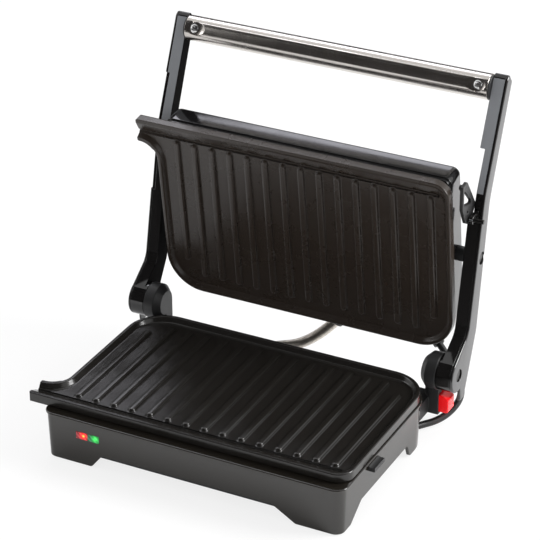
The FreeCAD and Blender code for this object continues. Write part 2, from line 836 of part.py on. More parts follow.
# Hinge brackets: moulded towers with round tops, fixed to the rear wall
tower_front = hinge_y - bracket_leg_front
tower_rear = hinge_y + bracket_radius
bevel_x = bracket_inner_x + bracket_chamfer
tower = slab([(bracket_inner_x, tower_front + bracket_chamfer, 0), (bevel_x, tower_front, 0),
              (bracket_outer_x, tower_front, 0), (bracket_outer_x, tower_rear, 0), (bevel_x, tower_rear, 0),
              (bracket_inner_x, tower_rear - bracket_chamfer, 0)], bracket_bottom, hinge_z)
crown = rod_x(bracket_radius, bevel_x, bracket_outer_x, hinge_y, hinge_z)
bevel = Part.makeCone(bracket_radius - bracket_chamfer, bracket_radius, bracket_chamfer,
                      V(bracket_inner_x, hinge_y, hinge_z), V(1, 0, 0))
foot = block(bracket_foot_inner_x, bevel_x, base_rear - bracket_foot_depth, base_rear + bracket_foot_depth,
             bracket_bottom, bracket_foot_top)
bracket = joined([tower, crown, bevel, foot]).cut(base_block)
plate_room = slab(plate_body_outline(-bracket_plate_gap), plate_bottom - bracket_plate_gap, rim_top + bracket_plate_gap)
bracket = bracket.cut(plate_room)
bracket = bracket.cut(rod_x(pin_radius, bracket_inner_x + pin_end_inset, far, hinge_y, hinge_z))
left_bracket = mirrored(bracket)
button_middle_y = hinge_y + button_back
button_middle_z = hinge_z - button_drop
half_w = button_width / 2
half_h = button_height / 2
pocket_x = bracket_outer_x - pocket_floor
pocket = block(pocket_x, far, button_middle_y - half_w - fit_gap, button_middle_y + half_w + fit_gap,
               button_middle_z - half_h - fit_gap, button_middle_z + half_h + fit_gap)
save("hinge_bracket_right", bracket.cut(pocket))
save("hinge_bracket_left", left_bracket)

# Release button: red moulded push button in the right bracket, with a sloped top and a spring behind it
button_end = bracket_outer_x + button_proud
button_root = bracket_outer_x - button_grip
low = button_middle_z - half_h
high = button_middle_z + half_h
button = front_slab([(button_root, low, 0), (button_end, low, button_round),
                     (button_end, high - button_slope, button_round),
                     (bracket_outer_x + button_ledge, high, button_round), (button_root, high, 0)],
                    button_middle_y - half_w, button_middle_y + half_w)
spring_bore = spring_mean_radius + spring_wire / 2 + spring_bore_gap
button = button.cut(rod_x(spring_bore, 0, button_root + spring_bore_depth, button_middle_y, button_middle_z))
save("release_button", button)
spring_length = button_root + spring_bore_depth - pocket_x
helix = Part.makeHelix((spring_length - spring_wire) / spring_turns, spring_length - spring_wire, spring_mean_radius)
rise = (spring_length - spring_wire) / spring_turns / (2 * math.pi)
ring = Part.Wire(Part.makeCircle(spring_wire / 2, V(spring_mean_radius, 0, 0), V(0, spring_mean_radius, rise)))
spring = Part.Wire(helix).makePipeShell([ring], True, True)
spring.rotate(V(0, 0, 0), V(0, 1, 0), 90)
spring.translate(V(pocket_x + spring_wire / 2, button_middle_y, button_middle_z))
self_gap = (spring_length - spring_wire) / spring_turns - spring_wire
print("release_spring gap between turns", round(self_gap, 2))
save("release_spring", spring)

# Hinge pins: steel pins pressed into the brackets, with their heads sunk in the arm covers
head_x = arm_seam_x + side_clearance
pin = rod_x(pin_radius, bracket_inner_x + pin_end_inset, head_x + pin_head_height / 2, hinge_y, hinge_z)
pin_head = rod_x(pin_head_radius, head_x, head_x + pin_head_height, hinge_y, hinge_z)
hinge_pin = joined([pin, pin_head])
save("hinge_pin_right", hinge_pin)
save("hinge_pin_left", mirrored(hinge_pin))
save("base_housing", housing)


# Arms: a satin frame on the inside and a gloss cover on the outside, joined by the handle
def shifted(point, across, length):
    """Point moved by length along the direction across in the side view."""
    size = math.hypot(across[0], across[1])
    return (point[0] + across[0] / size * length, point[1] + across[1] / size * length)


front_top = (handle_y - arm_top_front, handle_z + arm_top_rise)
crest = (front_top[0] + arm_crest_back, front_top[1] + arm_crest_rise)
front_bend = (pivot_y + arm_bend_back, pivot_z + arm_bend_rise)
front_foot = (hinge_y + arm_foot_back, hinge_z + arm_foot_rise)
upper_run = (front_top[0] - front_bend[0], front_top[1] - front_bend[1])
lower_run = (front_bend[0] - front_foot[0], front_bend[1] - front_foot[1])
upper_back = (upper_run[1], -upper_run[0])
lower_back = (lower_run[1], -lower_run[0])
back_top = shifted(front_top, upper_back, arm_top_depth)
back_bend = shifted(front_bend, upper_back, arm_bend_depth)
back_foot = shifted(front_foot, lower_back, arm_foot_depth)


def arm_outline(tail):
    """Side view of an arm from the top of its front edge, round the hinge and up its back edge."""
    k = knuckle_radius
    shape = [(crest[0], crest[1], arm_top_round), (front_top[0], front_top[1], arm_edge_round),
             (front_bend[0], front_bend[1], arm_bend_round), (front_foot[0], front_foot[1], arm_front_round),
             (hinge_y - 0.45 * k, hinge_z + 0.88 * k, 0)]
    if tail:
        tail_y = hinge_y + arm_tail_front
        tail_z = hinge_z - arm_tail_drop
        shape += [(hinge_y - 0.7 * k, hinge_z - 0.6 * k, 0), (hinge_y + 0.15 * k, hinge_z - 0.98 * k, 0),
                  (tail_y, tail_z, arm_top_round), (tail_y + arm_tail_width, tail_z, arm_top_round)]
    else:
        shape += [(hinge_y - 0.3 * k, hinge_z, 0), (hinge_y + 0.62 * k, hinge_z - 0.75 * k, 0)]
    shape += [(back_foot[0], back_foot[1], arm_back_round), (back_bend[0], back_bend[1], arm_bend_round),
              (back_top[0], back_top[1], arm_top_round)]
    return shape


blade = side_slab(arm_outline(False), arm_inner_x, arm_seam_x)
knuckle = rod_x(knuckle_radius, bracket_outer_x + side_clearance, arm_seam_x, hinge_y, hinge_z)
frame = joined([blade, knuckle])
frame = frame.cut(rod_x(pin_radius + run_clearance, 0, far, hinge_y, hinge_z))
frame = frame.cut(rod_x(pivot_pin_radius, 0, far, pivot_y, pivot_z))
shell = side_slab(arm_outline(True), arm_seam_x, arm_outer_x)
shell = joined([shell, rod_x(knuckle_radius, arm_seam_x, arm_outer_x, hinge_y, hinge_z)])
rim_edges = [e for e in shell.Edges if e.BoundBox.XMin > arm_outer_x - 0.01]
shell = shell.makeFillet(cover_round, rim_edges)
shell = shell.cut(rod_x(pin_head_radius + pin_head_gap, 0, far, hinge_y, hinge_z))
shell = shell.cut(rod_x(pivot_head_radius + pivot_head_gap, 0, far, pivot_y, pivot_z))
notch_high = latch_z + latch_length + notch_above_clip
notch_low = latch_z - notch_below_clip
left_notch_high = pivot_z + left_notch_rise
right_notch = block(0, arm_inner_x + notch_depth, -far, far, notch_low, notch_high)
step_low = shifted(front_bend, (-lower_run[0], -lower_run[1]), notch_run)
left_notch_run = (left_notch_high - front_bend[1]) / math.cos(math.atan2(upper_run[0], upper_run[1]))
step_high = shifted(front_bend, upper_run, left_notch_run)
step_out = shifted(step_high, upper_back, -notch_run)
left_notch = side_slab([(step_out[0], step_low[1], 0), (step_low[0] + notch_back, step_low[1], 0),
                        (front_bend[0] + notch_back, front_bend[1], 0), (step_high[0] + notch_back, step_high[1], 0),
                        (step_out[0], step_high[1], 0)], -far, -arm_outer_x + notch_depth)
left_frame = mirrored(frame).cut(left_notch)
left_shell = mirrored(shell).cut(left_notch)
ear_x = arm_inner_x + notch_depth + latch_ear_gap
ear_end = ear_x + latch_ear_width
ear = joined([rod_x(latch_ear, ear_x, ear_end, latch_y, latch_z),
              block(ear_x, ear_end, latch_y, front_bend[0] + latch_ear, latch_z - latch_ear, latch_z + latch_ear)])
frame = joined([frame.cut(right_notch), ear])
frame = frame.cut(rod_x(latch_pin_radius, 0, far, latch_y, latch_z))
save("arm_frame_right", frame)
save("arm_frame_left", left_frame)
save("arm_cover_right", shell)
save("arm_cover_left", left_shell)

# Handle: polished steel tube held by a plug in each end, with a screw in a pressed dimple through its front
tube_end = arm_inner_x - tube_end_gap
tube_bore = tube_radius - tube_wall
out = V(0, -upper_back[0], -upper_back[1]).normalize()
lean = math.degrees(math.atan2(-out.y, out.z))
screw_x = tube_end - handle_screw_inset
dimple_x = tube_end - dimple_inset
dimple_reach = tube_radius - dimple_depth + dimple_radius
seat_spread = handle_screw_head + abs(handle_screw_inset - dimple_inset)
head_foot = dimple_reach - math.sqrt(dimple_radius ** 2 - seat_spread ** 2)
head_top = head_foot + handle_screw_rise
tube = rod_x(tube_radius, -tube_end, tube_end, handle_y, handle_z)
bore = rod_x(tube_bore, -far, far, handle_y, handle_z)
screws = []
plugs = {}
for side, sign in (("left", -1), ("right", 1)):
    axis_point = V(sign * screw_x, handle_y, handle_z)
    dimple_point = V(sign * dimple_x, handle_y, handle_z) + out * dimple_reach
    dent = Part.makeSphere(dimple_radius + tube_wall, dimple_point)
    tube = tube.cut(Part.makeSphere(dimple_radius, dimple_point))
    bore = bore.cut(dent)
    plug = joined([rod_x(tube_bore, tube_end - plug_length, tube_end, handle_y, handle_z),
                   rod_x(plug_flange, tube_end, arm_inner_x, handle_y, handle_z)])
    if sign < 0:
        plug = mirrored(plug)
    head = Part.makeCylinder(handle_screw_head, 2 * handle_screw_rise, axis_point + out * head_foot, out)
    head = head.common(Part.makeSphere(handle_screw_dome, axis_point + out * (head_top - handle_screw_dome)))
    long = recess_length / 2
    slim = recess_width / 2
    cross = joined([block(-long, long, -slim, slim, 0, 2 * recess_depth),
                    block(-slim, slim, -long, long, 0, 2 * recess_depth)])
    cross.rotate(V(0, 0, 0), V(0, 0, 1), 45)
    cross.rotate(V(0, 0, 0), V(1, 0, 0), lean)
    cross.translate(axis_point + out * (head_top - recess_depth))
    shaft = Part.makeCylinder(screw_radius, head_foot + recess_depth / 2, axis_point, out)
    plugs[side] = plug.cut(dent).cut(shaft)
    screws.append(joined([head, shaft]).cut(cross))
tube = tube.cut(bore)
for sign in (-1, 1):
    axis_point = V(sign * screw_x, handle_y, handle_z)
    tube = tube.cut(Part.makeCylinder(screw_radius + fit_gap, 2 * tube_radius, axis_point, out))
save("handle_tube", tube)
save("handle_plug_left", plugs["left"])
save("handle_plug_right", plugs["right"])
save("handle_screws", Part.makeCompound(screws))

# Lid pivot pins: pressed into the arms, running in the lid's bushes
pivot_end = lid_half_width - pivot_reach
pivot_pin = joined([rod_x(pivot_pin_radius, pivot_end, arm_seam_x + pivot_head_height / 2, pivot_y, pivot_z),
                    rod_x(pivot_head_radius, arm_seam_x, arm_seam_x + pivot_head_height, pivot_y, pivot_z)])
save("lid_pivot_pin_right", pivot_pin)
save("lid_pivot_pin_left", mirrored(pivot_pin))

# Latch: a moulded clip on a cross pin in front of the right arm, with a nub that swings under the catch
latch_pin = rod_x(latch_pin_radius, latch_inner_x - latch_pin_inside, arm_outer_x + latch_pin_proud, latch_y, latch_z)
save("latch_pin", latch_pin)
latch_outer_x = latch_inner_x + latch_thickness
clip = side_slab([(latch_y - latch_foot, latch_z - latch_foot_drop / 2, latch_round),
                  (latch_y + latch_foot, latch_z - latch_foot_drop, latch_round),
                  (latch_y + latch_back, latch_z + latch_back_rise, latch_round),
                  (latch_y + latch_tip_shift, latch_z + latch_length, latch_round),
                  (latch_y - latch_front, latch_z + latch_length - latch_shoulder_drop, eye_round),
                  (latch_y - latch_front, latch_z + latch_front_rise, latch_round)],
                 latch_inner_x, latch_outer_x)
eye = side_slab([(latch_y - eye_front, latch_z + eye_front_rise, eye_round),
                 (latch_y + eye_back, latch_z + eye_rise, eye_round),
                 (latch_y - eye_front, latch_z + latch_length - eye_top_drop, eye_round)], 0, far)
window = rod_x(window_radius, 0, far, latch_y - window_front, latch_z + window_rise)
hub = rod_x(latch_hub, latch_inner_x, latch_outer_x, latch_y, latch_z)
nub = rod_x(nub_radius, nub_inner_x, latch_outer_x - latch_thickness / 2, latch_y - nub_forward, latch_z + nub_rise)
clip = joined([clip.cut(eye).cut(window), hub, nub])
clip = clip.cut(rod_x(latch_pin_radius + run_clearance, 0, far, latch_y, latch_z))
save("latch_clip", clip)


# Lid: moulded shell over a sheet carrier that holds the plate, with a bush in each side for the pivots
def lid_outline(inset):
    """Outer edge of the lid shell, drawn in by inset."""
    x = lid_half_width - inset
    front = max(lid_front_corner - inset, 0.5)
    rear = lid_rear_corner - inset
    return [(x, inset - lid_front, front), (x, lid_rear - inset, rear),
            (-x, lid_rear - inset, rear), (-x, inset - lid_front, front)]


def rounded_top(inset, z0, z1, radius):
    """Prism over the lid outline with its upper edge rounded."""
    body = slab(lid_outline(inset), z0, z1)
    upper = [e for e in body.Edges if e.BoundBox.ZMin > z1 - 0.01]
    return body.makeFillet(radius, upper)


lid_form = rounded_top(0, lid_seam, lid_height, lid_edge_round)
lid_shell = lid_form.cut(rounded_top(lid_wall, 0, lid_height - lid_wall, lid_edge_round - lid_wall))
seam_groove = slab(lid_outline(-seam_depth), lid_seam, lid_seam + seam_height)
seam_groove = seam_groove.cut(slab(lid_outline(seam_depth), 0, lid_height))
lid_shell = lid_shell.cut(seam_groove)
lid_shell = lid_shell.cut(rod_x(pivot_boss_radius, -far, far, lid_pivot_y, lid_pivot_height))
carrier_top = lid_seam + carrier_sheet
carrier = slab(lid_outline(lid_wall + carrier_gap), lid_seam, carrier_top)
carrier = carrier.cut(slab(well_outline(0), 0, lid_height))
tab_x = lid_half_width - lid_wall - tab_inset
tab_half = pivot_boss_radius + tab_margin
tab_top = lid_pivot_height + pivot_boss_radius + tab_above
for sign in (-1, 1):
    x0, x1 = sorted((sign * tab_x, sign * (tab_x - carrier_sheet)))
    carrier = joined([carrier, block(x0, x1, lid_pivot_y - tab_half, lid_pivot_y + tab_half, lid_seam, tab_top)])
carrier = carrier.cut(rod_x(pivot_boss_radius, -far, far, lid_pivot_y, lid_pivot_height))
for x, y in plate_screw_places():
    carrier = carrier.cut(rod_z(screw_radius + fit_gap, 0, lid_height, x, y))
save("lid_housing", swing_open(lid_shell))
save("lid_carrier", swing_open(carrier))
bush = joined([rod_x(pivot_boss_radius, tab_x - carrier_sheet - bush_inside, arm_inner_x - side_clearance,
                     lid_pivot_y, lid_pivot_height),
               rod_x(pivot_boss_radius + pivot_nut_extra, tab_x, tab_x + pivot_nut, lid_pivot_y, lid_pivot_height)])
bush = bush.cut(rod_x(pivot_pin_radius + run_clearance, 0, far, lid_pivot_y, lid_pivot_height))
save("lid_pivot_bush_right", swing_open(bush))
save("lid_pivot_bush_left", swing_open(mirrored(bush)))
save("upper_heater", swing_open(heater_body(plate_height + element_drop)))
save("upper_reflector", swing_open(pan_body(lid_seam, plate_height, 1)))
upper_screws = []
for x, y in plate_screw_places():
    shaft = rod_z(screw_radius, plate_height - plate_grip, carrier_top + screw_head_height / 2, x, y)
    upper_screws.append(joined([rod_z(screw_head_radius, carrier_top, carrier_top + screw_head_height, x, y), shaft]))
save("upper_plate_screws", swing_open(Part.makeCompound(upper_screws)))

# Thermal fuse: a sleeved cartridge clipped to the carrier between the upper reflector and the lid's rear wall
fuse_y = lid_rear - lid_wall - fuse_inset
fuse_z = carrier_top
fuse_clip = block(-fuse_clip_length / 2, fuse_clip_length / 2,
                  fuse_y - fuse_clip_width / 2, fuse_y + fuse_clip_width / 2, fuse_z, fuse_z + fuse_clip_height)
fuse = joined([rod_x(fuse_radius, -fuse_length / 2, fuse_length / 2, fuse_y, fuse_z + fuse_radius), fuse_clip])
save("thermal_fuse", swing_open(fuse))


# Lid glands: elbows on the rear wall of the lid that take the conduit and the cable
def lid_gland(route, radius, hub_radius):
    """Hub square to the lid's rear wall with a sleeve along the end of the lead."""
    end = route[-1]
    inside = route[-2]
    dy = end[1] - pivot_y
    dz = end[2] - pivot_z
    y = lid_pivot_y + dy * math.cos(lid_lean) + dz * math.sin(lid_lean)
    z = lid_pivot_height - dy * math.sin(lid_lean) + dz * math.cos(lid_lean)
    post = swing_open(rod_y(hub_radius, lid_rear, y + radius + gland_wall, end[0], z))
    body = joined([post, nozzle(end, inside, radius + gland_wall, gland_reach)]).cut(swing_open(lid_form))
    return body.cut(seat(end, inside, radius + lead_play))


save("lid_conduit_gland", lid_gland(conduit_route, conduit_radius, gland_hub))
save("lid_cable_gland", lid_gland(cable_route, cable_radius, gland_hub - gland_hub_step))
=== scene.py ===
import math

import bmesh
import bpy
import numpy as np
from mathutils import Matrix


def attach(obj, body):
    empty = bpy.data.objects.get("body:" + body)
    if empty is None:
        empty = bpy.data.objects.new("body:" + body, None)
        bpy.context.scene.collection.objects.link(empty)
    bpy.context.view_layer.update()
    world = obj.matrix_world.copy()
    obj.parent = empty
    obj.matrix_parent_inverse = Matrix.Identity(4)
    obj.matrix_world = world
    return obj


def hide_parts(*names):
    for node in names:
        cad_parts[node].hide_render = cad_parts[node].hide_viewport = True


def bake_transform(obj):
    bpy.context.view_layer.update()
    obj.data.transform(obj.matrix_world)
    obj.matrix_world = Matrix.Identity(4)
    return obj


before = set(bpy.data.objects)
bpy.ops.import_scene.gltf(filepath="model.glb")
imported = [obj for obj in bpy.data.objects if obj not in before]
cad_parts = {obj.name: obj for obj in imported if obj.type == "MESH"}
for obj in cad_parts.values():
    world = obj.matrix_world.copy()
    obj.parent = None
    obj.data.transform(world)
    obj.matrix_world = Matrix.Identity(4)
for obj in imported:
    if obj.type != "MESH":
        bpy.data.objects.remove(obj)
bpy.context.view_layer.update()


# Base housing: one moulded shell in dark warm grey gloss plastic, open below, with a deck under
# the plate and four corner feet. Its wall leans in a little towards the table, and a steel sheet
# is screwed to it from below.
def shader_node(tree, kind, inputs=None, **settings):
    """Adds a shader node, sets its options, then links or sets each named input."""
    node = tree.nodes.new(kind)
    for key, value in settings.items():
        setattr(node, key, value)
    for key, value in (inputs or {}).items():
        if isinstance(value, bpy.types.NodeSocket):
            tree.links.new(value, node.inputs[key])
        else:
            node.inputs[key].default_value = value
    return node


def shader_group(name, inputs, outputs):
    """An empty node group with float inputs and with outputs of the given socket kinds."""
    tree = bpy.data.node_groups.new(name, "ShaderNodeTree")
    for key, value in inputs.items():
        socket = tree.interface.new_socket(key, in_out="INPUT", socket_type="NodeSocketFloat")
        socket.default_value = value
    for key, kind in outputs.items():
        tree.interface.new_socket(key, in_out="OUTPUT", socket_type=kind)
    return tree, tree.nodes.new("NodeGroupInput"), tree.nodes.new("NodeGroupOutput")


def wire(tree, node, sockets):
    """Links each socket to the node's input of that name."""
    for key, socket in sockets.items():
        tree.links.new(socket, node.inputs[key])


def own_place(tree):
    """Where a point lies on the piece, in metres."""
    return shader_node(tree, "ShaderNodeTexCoord").outputs["Object"]


def noise(tree, vector, scale, detail=2.0, roughness=0.5):
    """Noise of so many features a metre."""
    return shader_node(tree, "ShaderNodeTexNoise", {
        "Vector": vector, "Scale": scale, "Detail": detail, "Roughness": roughness}).outputs["Fac"]


def ranged(tree, value, low, high, out_low=0.0, out_high=1.0):
    """The value stretched from low..high to out_low..out_high and clamped."""
    return shader_node(tree, "ShaderNodeMapRange", {
        "Value": value, "From Min": low, "From Max": high,
        "To Min": out_low, "To Max": out_high}).outputs["Result"]


def bumped(tree, height, depth):
    """The facing of a surface into which the height is pressed to the depth."""
    return shader_node(tree, "ShaderNodeBump", {
        "Height": height, "Distance": depth}).outputs["Normal"]


def shaded(tree, factor, first, second):
    """Colour that passes from the first shade to the second with the factor."""
    mix = shader_node(tree, "ShaderNodeMix", {"Factor": factor}, data_type="RGBA")
    mix.inputs["A"].default_value = (*first, 1.0)
    mix.inputs["B"].default_value = (*second, 1.0)
    return mix.outputs["Result"]


def blank_finish(name):
    """A new material with its node tree and its shader."""
    material = bpy.data.materials.new(name)
    material.use_nodes = True
    return material, material.node_tree, material.node_tree.nodes["Principled BSDF"]


moulded_skin, skin_in, skin_out = shader_group(
    "moulded_skin", {"Grain": 1500.0, "Depth": 0.00001},
    {"Normal": "NodeSocketVector", "Smudge": "NodeSocketFloat", "Fleck": "NodeSocketFloat"})
skin_place = own_place(moulded_skin)
skin_relief = noise(moulded_skin, skin_place, skin_in.outputs["Grain"], detail=3.0)
skin_smudge = noise(moulded_skin, skin_place, scale=26.0, detail=5.0, roughness=0.6)
skin_fleck = noise(moulded_skin, skin_place, scale=1900.0)
wire(moulded_skin, skin_out, {
    "Normal": bumped(moulded_skin, skin_relief, skin_in.outputs["Depth"]),
    "Smudge": ranged(moulded_skin, skin_smudge, low=0.42, high=0.72),
    "Fleck": ranged(moulded_skin, skin_fleck, low=0.62, high=0.74)})


def moulding(name, colour, worn, polish, handled, grain, depth, ior=1.5):
    """Moulded plastic: the colour with its worn shade in the flecks, and a roughness that goes
    from polish to handled in the smudges."""
    material, tree, shader = blank_finish(name)
    skin = shader_node(tree, "ShaderNodeGroup", {"Grain": grain, "Depth": depth},
                       node_tree=moulded_skin)
    wire(tree, shader, {
        "Base Color": shaded(tree, skin.outputs["Fleck"], colour, worn),
        "Roughness": ranged(tree, skin.outputs["Smudge"], 0.0, 1.0, polish, handled),
        "Normal": skin.outputs["Normal"]})
    shader.inputs["IOR"].default_value = ior
    return material


def mesh_values(rows, key, across, kind):
    """One property of all the rows of a mesh as an array, with so many numbers across."""
    values = np.empty(len(rows) * across, kind)
    rows.foreach_get(key, values)
    return values.reshape(-1, across)


def rounded_copy(node, body, material, width, angle=30.0, sharp_left=-1.0):
    """A CAD node's mesh with its triangles merged and its flat faces joined. Edges that turn by
    more than the angle are rounded to the width, apart from those with their middle to the left
    of sharp_left."""
    weld_reach = 2e-6
    flat_turn = math.radians(0.4)
    round_steps = 3
    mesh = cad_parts[node].data.copy()
    form = bmesh.new()
    form.from_mesh(mesh)
    bmesh.ops.remove_doubles(form, verts=form.verts, dist=weld_reach)
    bmesh.ops.dissolve_limit(form, angle_limit=flat_turn, verts=form.verts, edges=form.edges)
    form.to_mesh(mesh)
    form.free()
    if "custom_normal" in mesh.attributes:
        mesh.attributes.remove(mesh.attributes["custom_normal"])
    ends = mesh_values(mesh.edges, "vertices", 2, np.int32)
    places = mesh_values(mesh.vertices, "co", 3, np.float32)
    facing = mesh_values(mesh.polygons, "normal", 3, np.float32)
    corners = mesh_values(mesh.polygons, "loop_total", 1, np.int32).ravel()
    corner_edge = mesh_values(mesh.loops, "edge_index", 1, np.int32).ravel()
    order = np.argsort(corner_edge, kind="stable")
    corner_facing = np.repeat(facing, corners, axis=0)[order]
    first = np.searchsorted(corner_edge[order], np.arange(len(mesh.edges)), "left")
    last = np.searchsorted(corner_edge[order], np.arange(len(mesh.edges)), "right") - 1
    match = np.sum(corner_facing[first] * corner_facing[last], axis=1)
    turns = match < math.cos(math.radians(angle))
    middle_x = places[ends, 0].mean(axis=1)
    weight = mesh.attributes.new("bevel_weight_edge", "FLOAT", "EDGE")
    weight.data.foreach_set("value", (turns & (middle_x > sharp_left)).astype(np.float32))
    mesh.materials.clear()
    mesh.materials.append(material)
    mesh.shade_smooth()
    mesh.set_sharp_from_angle(angle=math.radians(angle))
    piece = bpy.data.objects.new(node + "_form", mesh)
    bpy.context.collection.objects.link(piece)
    if width > 0.0:
        bevel = piece.modifiers.new("rounded_edges", "BEVEL")
        bevel.width = width
        bevel.segments = round_steps
        bevel.limit_method = "WEIGHT"
        bevel.use_clamp_overlap = False
        bevel.harden_normals = True
    if body is not None:
        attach(piece, body)
    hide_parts(node)
    return piece


grey_gloss = moulding("grey_gloss", colour=(0.0115, 0.0098, 0.0078), worn=(0.015, 0.0132, 0.0112),
                      polish=0.1, handled=0.16, grain=700.0, depth=0.000003, ior=1.6)
rounded_copy("base_housing", "base", grey_gloss, width=0.0003)

# Lid housing: a shallow shell moulded in black gloss plastic, with rounded edges and a flat top.
# It covers a sheet carrier, which holds the upper plate, and has a bush in each side for a pivot.
black_gloss = moulding("black_gloss", colour=(0.006, 0.0058, 0.006), worn=(0.009, 0.0088, 0.009),
                       polish=0.08, handled=0.15, grain=700.0, depth=0.000003, ior=1.6)
rounded_copy("lid_housing", "lid", black_gloss, width=0.0005)

# Cooking plates: two like trays of cast aluminium with a dark baked non-stick coat, each with cast
# ribs, a drain trough along the front and a spout at its left end, screwed on from behind. Both
# plates have the same coat: the lower plate's is drawn darker and shinier, and the upper plate's
# paler and browner, which is painted light and a painted warm reflection.
coat_speckle, coat_in, coat_out = shader_group(
    "coat_speckle", {"Speckle": 2600.0, "Depth": 0.00002},
    {"Normal": "NodeSocketVector", "Spot": "NodeSocketFloat", "Stain": "NodeSocketFloat"})
coat_place = own_place(coat_speckle)
coat_grain = noise(coat_speckle, coat_place, coat_in.outputs["Speckle"])
coat_spot = noise(coat_speckle, coat_place, scale=3400.0, detail=1.0)
coat_stain = noise(coat_speckle, coat_place, scale=32.0, detail=5.0, roughness=0.62)
wire(coat_speckle, coat_out, {
    "Normal": bumped(coat_speckle, coat_grain, coat_in.outputs["Depth"]),
    "Spot": ranged(coat_speckle, coat_spot, low=0.63, high=0.7),
    "Stain": ranged(coat_speckle, coat_stain, low=0.4, high=0.7)})


def baked_coat(name, shade, spot, polish, dull):
    """Dark non-stick coat: the shade with paler specks, and a roughness that goes from polish to
    dull in its stains."""
    material, tree, shader = blank_finish(name)
    skin = shader_node(tree, "ShaderNodeGroup", node_tree=coat_speckle)
    wire(tree, shader, {
        "Base Color": shaded(tree, skin.outputs["Spot"], shade, spot),
        "Roughness": ranged(tree, skin.outputs["Stain"], 0.0, 1.0, polish, dull),
        "Normal": skin.outputs["Normal"]})
    return material


dark_coat = baked_coat("dark_coat", shade=(0.0095, 0.0085, 0.0075), spot=(0.024, 0.022, 0.02),
                        polish=0.16, dull=0.26)
# The upper plate's coat is paler and brown: painted light and a painted warm reflection.
painted_warm_coat = baked_coat("painted_warm_coat", shade=(0.022, 0.0162, 0.0125), spot=(0.05, 0.04, 0.034),
                        polish=0.24, dull=0.34)
spout_mouth = -0.121
for plate_node, plate_body, coat in (("lower_plate", "base", dark_coat),
                                     ("upper_plate", "lid", painted_warm_coat)):
    rounded_copy(plate_node, plate_body, coat, width=0.0009, angle=24.0,
                 sharp_left=spout_mouth)

# Hinge brackets, catch, clip, plugs, bushes and glands: small mouldings in matt black plastic, each
# fixed to or pushed into the part that carries it.
black_matt = moulding("black_matt", colour=(0.012, 0.012, 0.0125), worn=(0.022, 0.022, 0.023),
                      polish=0.42, handled=0.55, grain=1800.0, depth=0.00002)
for small_node, small_body in (
        ("hinge_bracket_left", "base"), ("hinge_bracket_right", "base"), ("latch_catch", "base"),
        ("latch_clip", "latch"), ("handle_plug_left", "arms"), ("handle_plug_right", "arms"),
        ("conduit_gland", "base"), ("cable_clamp", "base"),
        ("lid_pivot_bush_left", "lid"), ("lid_pivot_bush_right", "lid"),
        ("lid_conduit_gland", "lid"), ("lid_cable_gland", "lid")):
    rounded_copy(small_node, small_body, black_matt, width=0.0004)

# Arms: a moulded inner frame and a black gloss outer cover on each side, hinged on the brackets at
# the bottom and joined by the handle at the top. The front of each frame is black gloss, with a
# painted sheen of satin grey on the faces above its bend that face up to the front, and its inner
# side is matt.
arm_black = moulding("arm_black", colour=(0.005, 0.0046, 0.0046), worn=(0.008, 0.0076, 0.0076),
                     polish=0.06, handled=0.12, grain=700.0, depth=0.000002, ior=1.6)
# The satin grey is a painted sheen: it stands in for soft light reflected by the upper front faces.
painted_sheen_grey = moulding("painted_sheen_grey", colour=(0.19, 0.197, 0.21), worn=(0.22, 0.227, 0.24),
                    polish=0.32, handled=0.42, grain=2200.0, depth=0.00001)
arm_inside = moulding("arm_inside", colour=(0.004, 0.0036, 0.0036), worn=(0.007, 0.0066, 0.0066),
                      polish=0.5, handled=0.6, grain=1600.0, depth=0.00001, ior=1.05)
bend_place = np.array((0.0, 0.07535, 0.1689))
top_place = np.array((0.0, 0.10915, 0.2456))
front_facing = np.array((0.0, bend_place[2] - top_place[2], top_place[1] - bend_place[1]))
front_facing /= np.linalg.norm(front_facing)
front_play = -0.001
front_match = 0.998
inside_match = 0.98
for side, inward in (("left", 1.0), ("right", -1.0)):
    arm_frame = rounded_copy("arm_frame_" + side, "arms", arm_black, width=0.0004).data
    arm_frame.materials.append(painted_sheen_grey)
    arm_frame.materials.append(arm_inside)
    face_middle = mesh_values(arm_frame.polygons, "center", 3, np.float32)
    face_way = mesh_values(arm_frame.polygons, "normal", 3, np.float32)
    in_front = (face_middle - bend_place) @ front_facing > front_play
    upward = face_way @ front_facing > front_match
    inside = face_way[:, 0] * inward > inside_match
    # Faces turned up to the front take the painted sheen grey, and the inner sides take the matt
    # black.
    sheen_or_inside = (in_front & upward) + 2 * inside.astype(np.int32)
    arm_frame.polygons.foreach_set("material_index", sheen_or_inside)
    rounded_copy("arm_cover_" + side, "arms", arm_black, width=0.0003)

# Handle tube: polished stainless steel tube between the tops of the arms. A plug holds it at each
# end, and a screw sits there in a pressed dimple.
drawn_lines, lines_in, lines_out = shader_group(
    "drawn_lines", {"Along": 6.0, "Across": 900.0, "Depth": 0.000004},
    {"Normal": "NodeSocketVector", "Line": "NodeSocketFloat", "Film": "NodeSocketFloat"})
lines_place = own_place(drawn_lines)
lines_scale = shader_node(drawn_lines, "ShaderNodeCombineXYZ", {
    "X": lines_in.outputs["Along"], "Y": lines_in.outputs["Across"],
    "Z": lines_in.outputs["Across"]}).outputs["Vector"]
lines_stretch = shader_node(drawn_lines, "ShaderNodeVectorMath", {0: lines_place, 1: lines_scale},
                            operation="MULTIPLY").outputs["Vector"]
lines_relief = noise(drawn_lines, lines_stretch, scale=1.0, detail=3.0)
lines_film = noise(drawn_lines, lines_place, scale=40.0, detail=4.0, roughness=0.6)
wire(drawn_lines, lines_out, {
    "Normal": bumped(drawn_lines, lines_relief, lines_in.outputs["Depth"]),
    "Line": lines_relief,
    "Film": ranged(drawn_lines, lines_film, low=0.4, high=0.72)})


